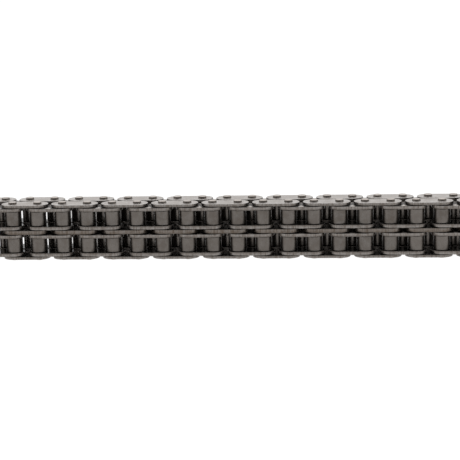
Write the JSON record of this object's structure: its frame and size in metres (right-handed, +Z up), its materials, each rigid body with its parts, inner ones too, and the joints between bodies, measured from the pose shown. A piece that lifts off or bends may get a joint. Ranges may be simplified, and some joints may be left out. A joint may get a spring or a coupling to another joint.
{
  "type": "roller chain",
  "caption": "Two-strand straight-plate roller chain, an open length folded back on itself into two close parallel runs, lying on its side on its pin ends.",
  "frame": {"origin": "centre of the bounding box in plan, on the plane that the lower pin ends rest on", "axes": "+X along both straight runs towards the fold, -Y the side of the run that has its own roller bodies, +Z up along the pins"},
  "size_m": [0.2082, 0.0174, 0.0225],
  "materials": {
    "outer_link_steel": "tumbled, heat-treated plate steel, light grey on top and browner on the cut edges, satin",
    "inner_link_steel": "tumbled, heat-treated plate steel, satin, slightly darker than the outer plates",
    "roller_steel": "case-hardened roller steel, smooth satin grey with faint lengthwise streaks",
    "pin_steel": "ground and riveted pin steel, satin end, dark on its side"
  },
  "bodies": {
    "inner_link_01": {"inner_link_01": "inner_link_steel"},
    "outer_link_01": {"outer_link_01": "outer_link_steel"},
    "inner_link_02": {"inner_link_02": "inner_link_steel"},
    "outer_link_02": {"outer_link_02": "outer_link_steel"},
    "inner_link_03": {"inner_link_03": "inner_link_steel"},
    "outer_link_03": {"outer_link_03": "outer_link_steel"},
    "inner_link_04": {"inner_link_04": "inner_link_steel"},
    "outer_link_04": {"outer_link_04": "outer_link_steel"},
    "inner_link_05": {"inner_link_05": "inner_link_steel"},
    "outer_link_05": {"outer_link_05": "outer_link_steel"},
    "inner_link_06": {"inner_link_06": "inner_link_steel"},
    "outer_link_06": {"outer_link_06": "outer_link_steel"},
    "inner_link_07": {"inner_link_07": "inner_link_steel"},
    "outer_link_07": {"outer_link_07": "outer_link_steel"},
    "inner_link_08": {"inner_link_08": "inner_link_steel"},
    "outer_link_08": {"outer_link_08": "outer_link_steel"},
    "inner_link_09": {"inner_link_09": "inner_link_steel"},
    "outer_link_09": {"outer_link_09": "outer_link_steel"},
    "inner_link_10": {"inner_link_10": "inner_link_steel"},
    "outer_link_10": {"outer_link_10": "outer_link_steel"},
    "inner_link_11": {"inner_link_11": "inner_link_steel"},
    "outer_link_11": {"outer_link_11": "outer_link_steel"},
    "inner_link_12": {"inner_link_12": "inner_link_steel"},
    "outer_link_12": {"outer_link_12": "outer_link_steel"},
    "inner_link_13": {"inner_link_13": "inner_link_steel"},
    "outer_link_13": {"outer_link_13": "outer_link_steel"},
    "inner_link_14": {"inner_link_14": "inner_link_steel"},
    "outer_link_14": {"outer_link_14": "outer_link_steel"},
    "inner_link_15": {"inner_link_15": "inner_link_steel"},
    "outer_link_15": {"outer_link_15": "outer_link_steel"},
    "inner_link_16": {"inner_link_16": "inner_link_steel"},
    "outer_link_16": {"outer_link_16": "outer_link_steel"},
    "inner_link_17": {"inner_link_17": "inner_link_steel"},
    "outer_link_17": {"outer_link_17": "outer_link_steel"},
    "inner_link_18": {"inner_link_18": "inner_link_steel"},
    "outer_link_18": {"outer_link_18": "outer_link_steel"},
    "inner_link_19": {"inner_link_19": "inner_link_steel"},
    "outer_link_19": {"outer_link_19": "outer_link_steel"},
    "inner_link_20": {"inner_link_20": "inner_link_steel"},
    "outer_link_20": {"outer_link_20": "outer_link_steel"},
    "inner_link_21": {"inner_link_21": "inner_link_steel"},
    "rollers_01": {"rollers_01": "roller_steel"},
    "rollers_02": {"rollers_02": "roller_steel"},
    "rollers_03": {"rollers_03": "roller_steel"},
    "rollers_04": {"rollers_04": "roller_steel"},
    "rollers_05": {"rollers_05": "roller_steel"},
    "rollers_06": {"rollers_06": "roller_steel"},
    "rollers_07": {"rollers_07": "roller_steel"},
    "rollers_08": {"rollers_08": "roller_steel"},
    "rollers_09": {"rollers_09": "roller_steel"},
    "rollers_10": {"rollers_10": "roller_steel"},
    "rollers_11": {"rollers_11": "roller_steel"},
    "rollers_12": {"rollers_12": "roller_steel"},
    "rollers_13": {"rollers_13": "roller_steel"},
    "rollers_14": {"rollers_14": "roller_steel"},
    "rollers_15": {"rollers_15": "roller_steel"},
    "rollers_16": {"rollers_16": "roller_steel"},
    "rollers_17": {"rollers_17": "roller_steel"},
    "rollers_18": {"rollers_18": "roller_steel"},
    "rollers_19": {"rollers_19": "roller_steel"}
  },
  "joints": [
    {"name": "pin_hinge_01", "type": "hinge", "parent": "outer_link_01", "child": "inner_link_01", "pos_m": [-0.07634, -0.00452, 0.01125], "axis": [0, 0, 1], "range_deg": [0, 15]},
    {"name": "pin_hinge_02", "type": "hinge", "parent": "inner_link_02", "child": "outer_link_01", "pos_m": [-0.06682, -0.00452, 0.01125], "axis": [0, 0, 1], "range_deg": [0, 15]},
    {"name": "pin_hinge_03", "type": "hinge", "parent": "outer_link_02", "child": "inner_link_02", "pos_m": [-0.05729, -0.00452, 0.01125], "axis": [0, 0, 1], "range_deg": [0, 15]},
    {"name": "pin_hinge_04", "type": "hinge", "parent": "inner_link_03", "child": "outer_link_02", "pos_m": [-0.04777, -0.00452, 0.01125], "axis": [0, 0, 1], "range_deg": [0, 15]},
    {"name": "pin_hinge_05", "type": "hinge", "parent": "outer_link_03", "child": "inner_link_03", "pos_m": [-0.03824, -0.00452, 0.01125], "axis": [0, 0, 1], "range_deg": [0, 15]},
    {"name": "pin_hinge_06", "type": "hinge", "parent": "inner_link_04", "child": "outer_link_03", "pos_m": [-0.02872, -0.00452, 0.01125], "axis": [0, 0, 1], "range_deg": [0, 15]},
    {"name": "pin_hinge_07", "type": "hinge", "parent": "outer_link_04", "child": "inner_link_04", "pos_m": [-0.01919, -0.00452, 0.01125], "axis": [0, 0, 1], "range_deg": [0, 15]},
    {"name": "pin_hinge_08", "type": "hinge", "parent": "inner_link_05", "child": "outer_link_04", "pos_m": [-0.00967, -0.00452, 0.01125], "axis": [0, 0, 1], "range_deg": [0, 15]},
    {"name": "pin_hinge_09", "type": "hinge", "parent": "outer_link_05", "child": "inner_link_05", "pos_m": [-0.00014, -0.00452, 0.01125], "axis": [0, 0, 1], "range_deg": [0, 15]},
    {"name": "pin_hinge_10", "type": "hinge", "parent": "inner_link_06", "child": "outer_link_05", "pos_m": [0.00938, -0.00452, 0.01125], "axis": [0, 0, 1], "range_deg": [0, 15]},
    {"name": "pin_hinge_11", "type": "hinge", "parent": "outer_link_06", "child": "inner_link_06", "pos_m": [0.01891, -0.00452, 0.01125], "axis": [0, 0, 1], "range_deg": [0, 15]},
    {"name": "pin_hinge_12", "type": "hinge", "parent": "inner_link_07", "child": "outer_link_06", "pos_m": [0.02843, -0.00452, 0.01125], "axis": [0, 0, 1], "range_deg": [0, 15]},
    {"name": "pin_hinge_13", "type": "hinge", "parent": "outer_link_07", "child": "inner_link_07", "pos_m": [0.03796, -0.00452, 0.01125], "axis": [0, 0, 1], "range_deg": [0, 15]},
    {"name": "pin_hinge_14", "type": "hinge", "parent": "inner_link_08", "child": "outer_link_07", "pos_m": [0.04748, -0.00452, 0.01125], "axis": [0, 0, 1], "range_deg": [0, 15]},
    {"name": "pin_hinge_15", "type": "hinge", "parent": "outer_link_08", "child": "inner_link_08", "pos_m": [0.05701, -0.00452, 0.01125], "axis": [0, 0, 1], "range_deg": [0, 15]},
    {"name": "pin_hinge_16", "type": "hinge", "parent": "inner_link_09", "child": "outer_link_08", "pos_m": [0.06653, -0.00452, 0.01125], "axis": [0, 0, 1], "range_deg": [0, 15]},
    {"name": "pin_hinge_17", "type": "hinge", "parent": "outer_link_09", "child": "inner_link_09", "pos_m": [0.07606, -0.00452, 0.01125], "axis": [0, 0, 1], "range_deg": [0, 15]},
    {"name": "pin_hinge_18", "type": "hinge", "parent": "inner_link_10", "child": "outer_link_09", "pos_m": [0.08558, -0.00452, 0.01125], "axis": [0, 0, 1], "range_deg": [0, 15]},
    {"name": "pin_hinge_19", "type": "hinge", "parent": "outer_link_10", "child": "inner_link_10", "pos_m": [0.09511, -0.00452, 0.01125], "axis": [0, 0, 1], "range_deg": [0, 15]},
    {"name": "pin_hinge_20", "type": "hinge", "parent": "outer_link_10", "child": "inner_link_11", "pos_m": [0.09999, 0.00365, 0.01125], "axis": [0, 0, -1], "range_deg": [0, 15]},
    {"name": "pin_hinge_21", "type": "hinge", "parent": "inner_link_11", "child": "outer_link_11", "pos_m": [0.09051, 0.00452, 0.01125], "axis": [0, 0, -1], "range_deg": [0, 15]},
    {"name": "pin_hinge_22", "type": "hinge", "parent": "outer_link_11", "child": "inner_link_12", "pos_m": [0.08098, 0.00452, 0.01125], "axis": [0, 0, -1], "range_deg": [0, 15]},
    {"name": "pin_hinge_23", "type": "hinge", "parent": "inner_link_12", "child": "outer_link_12", "pos_m": [0.07146, 0.00452, 0.01125], "axis": [0, 0, -1], "range_deg": [0, 15]},
    {"name": "pin_hinge_24", "type": "hinge", "parent": "outer_link_12", "child": "inner_link_13", "pos_m": [0.06193, 0.00452, 0.01125], "axis": [0, 0, -1], "range_deg": [0, 15]},
    {"name": "pin_hinge_25", "type": "hinge", "parent": "inner_link_13", "child": "outer_link_13", "pos_m": [0.05241, 0.00452, 0.01125], "axis": [0, 0, -1], "range_deg": [0, 15]},
    {"name": "pin_hinge_26", "type": "hinge", "parent": "outer_link_13", "child": "inner_link_14", "pos_m": [0.04288, 0.00452, 0.01125], "axis": [0, 0, -1], "range_deg": [0, 15]},
    {"name": "pin_hinge_27", "type": "hinge", "parent": "inner_link_14", "child": "outer_link_14", "pos_m": [0.03336, 0.00452, 0.01125], "axis": [0, 0, -1], "range_deg": [0, 15]},
    {"name": "pin_hinge_28", "type": "hinge", "parent": "outer_link_14", "child": "inner_link_15", "pos_m": [0.02383, 0.00452, 0.01125], "axis": [0, 0, -1], "range_deg": [0, 15]},
    {"name": "pin_hinge_29", "type": "hinge", "parent": "inner_link_15", "child": "outer_link_15", "pos_m": [0.01431, 0.00452, 0.01125], "axis": [0, 0, -1], "range_deg": [0, 15]},
    {"name": "pin_hinge_30", "type": "hinge", "parent": "outer_link_15", "child": "inner_link_16", "pos_m": [0.00478, 0.00452, 0.01125], "axis": [0, 0, -1], "range_deg": [0, 15]},
    {"name": "pin_hinge_31", "type": "hinge", "parent": "inner_link_16", "child": "outer_link_16", "pos_m": [-0.00474, 0.00452, 0.01125], "axis": [0, 0, -1], "range_deg": [0, 15]},
    {"name": "pin_hinge_32", "type": "hinge", "parent": "outer_link_16", "child": "inner_link_17", "pos_m": [-0.01427, 0.00452, 0.01125], "axis": [0, 0, -1], "range_deg": [0, 15]},
    {"name": "pin_hinge_33", "type": "hinge", "parent": "inner_link_17", "child": "outer_link_17", "pos_m": [-0.02379, 0.00452, 0.01125], "axis": [0, 0, -1], "range_deg": [0, 15]},
    {"name": "pin_hinge_34", "type": "hinge", "parent": "outer_link_17", "child": "inner_link_18", "pos_m": [-0.03332, 0.00452, 0.01125], "axis": [0, 0, -1], "range_deg": [0, 15]},
    {"name": "pin_hinge_35", "type": "hinge", "parent": "inner_link_18", "child": "outer_link_18", "pos_m": [-0.04284, 0.00452, 0.01125], "axis": [0, 0, -1], "range_deg": [0, 15]},
    {"name": "pin_hinge_36", "type": "hinge", "parent": "outer_link_18", "child": "inner_link_19", "pos_m": [-0.05237, 0.00452, 0.01125], "axis": [0, 0, -1], "range_deg": [0, 15]},
    {"name": "pin_hinge_37", "type": "hinge", "parent": "inner_link_19", "child": "outer_link_19", "pos_m": [-0.06189, 0.00452, 0.01125], "axis": [0, 0, -1], "range_deg": [0, 15]},
    {"name": "pin_hinge_38", "type": "hinge", "parent": "outer_link_19", "child": "inner_link_20", "pos_m": [-0.07142, 0.00452, 0.01125], "axis": [0, 0, -1], "range_deg": [0, 15]},
    {"name": "pin_hinge_39", "type": "hinge", "parent": "inner_link_20", "child": "outer_link_20", "pos_m": [-0.08094, 0.00452, 0.01125], "axis": [0, 0, -1], "range_deg": [0, 15]},
    {"name": "pin_hinge_40", "type": "hinge", "parent": "outer_link_20", "child": "inner_link_21", "pos_m": [-0.09047, 0.00452, 0.01125], "axis": [0, 0, -1], "range_deg": [0, 15]},
    {"name": "roller_spin_01", "type": "hinge", "parent": "inner_link_01", "child": "rollers_01", "pos_m": [-0.08587, -0.00452, 0.01125], "axis": [0, 0, 1], "continuous": true},
    {"name": "roller_spin_02", "type": "hinge", "parent": "inner_link_01", "child": "rollers_02", "pos_m": [-0.07634, -0.00452, 0.01125], "axis": [0, 0, 1], "continuous": true},
    {"name": "roller_spin_03", "type": "hinge", "parent": "inner_link_02", "child": "rollers_03", "pos_m": [-0.06682, -0.00452, 0.01125], "axis": [0, 0, 1], "continuous": true},
    {"name": "roller_spin_04", "type": "hinge", "parent": "inner_link_02", "child": "rollers_04", "pos_m": [-0.05729, -0.00452, 0.01125], "axis": [0, 0, 1], "continuous": true},
    {"name": "roller_spin_05", "type": "hinge", "parent": "inner_link_03", "child": "rollers_05", "pos_m": [-0.04777, -0.00452, 0.01125], "axis": [0, 0, 1], "continuous": true},
    {"name": "roller_spin_06", "type": "hinge", "parent": "inner_link_03", "child": "rollers_06", "pos_m": [-0.03824, -0.00452, 0.01125], "axis": [0, 0, 1], "continuous": true},
    {"name": "roller_spin_07", "type": "hinge", "parent": "inner_link_04", "child": "rollers_07", "pos_m": [-0.02872, -0.00452, 0.01125], "axis": [0, 0, 1], "continuous": true},
    {"name": "roller_spin_08", "type": "hinge", "parent": "inner_link_04", "child": "rollers_08", "pos_m": [-0.01919, -0.00452, 0.01125], "axis": [0, 0, 1], "continuous": true},
    {"name": "roller_spin_09", "type": "hinge", "parent": "inner_link_05", "child": "rollers_09", "pos_m": [-0.00967, -0.00452, 0.01125], "axis": [0, 0, 1], "continuous": true},
    {"name": "roller_spin_10", "type": "hinge", "parent": "inner_link_05", "child": "rollers_10", "pos_m": [-0.00014, -0.00452, 0.01125], "axis": [0, 0, 1], "continuous": true},
    {"name": "roller_spin_11", "type": "hinge", "parent": "inner_link_06", "child": "rollers_11", "pos_m": [0.00938, -0.00452, 0.01125], "axis": [0, 0, 1], "continuous": true},
    {"name": "roller_spin_12", "type": "hinge", "parent": "inner_link_06", "child": "rollers_12", "pos_m": [0.01891, -0.00452, 0.01125], "axis": [0, 0, 1], "continuous": true},
    {"name": "roller_spin_13", "type": "hinge", "parent": "inner_link_07", "child": "rollers_13", "pos_m": [0.02843, -0.00452, 0.01125], "axis": [0, 0, 1], "continuous": true},
    {"name": "roller_spin_14", "type": "hinge", "parent": "inner_link_07", "child": "rollers_14", "pos_m": [0.03796, -0.00452, 0.01125], "axis": [0, 0, 1], "continuous": true},
    {"name": "roller_spin_15", "type": "hinge", "parent": "inner_link_08", "child": "rollers_15", "pos_m": [0.04748, -0.00452, 0.01125], "axis": [0, 0, 1], "continuous": true},
    {"name": "roller_spin_16", "type": "hinge", "parent": "inner_link_08", "child": "rollers_16", "pos_m": [0.05701, -0.00452, 0.01125], "axis": [0, 0, 1], "continuous": true},
    {"name": "roller_spin_17", "type": "hinge", "parent": "inner_link_09", "child": "rollers_17", "pos_m": [0.06653, -0.00452, 0.01125], "axis": [0, 0, 1], "continuous": true},
    {"name": "roller_spin_18", "type": "hinge", "parent": "inner_link_09", "child": "rollers_18", "pos_m": [0.07606, -0.00452, 0.01125], "axis": [0, 0, 1], "continuous": true},
    {"name": "roller_spin_19", "type": "hinge", "parent": "inner_link_10", "child": "rollers_19", "pos_m": [0.08558, -0.00452, 0.01125], "axis": [0, 0, 1], "continuous": true}
  ]
}
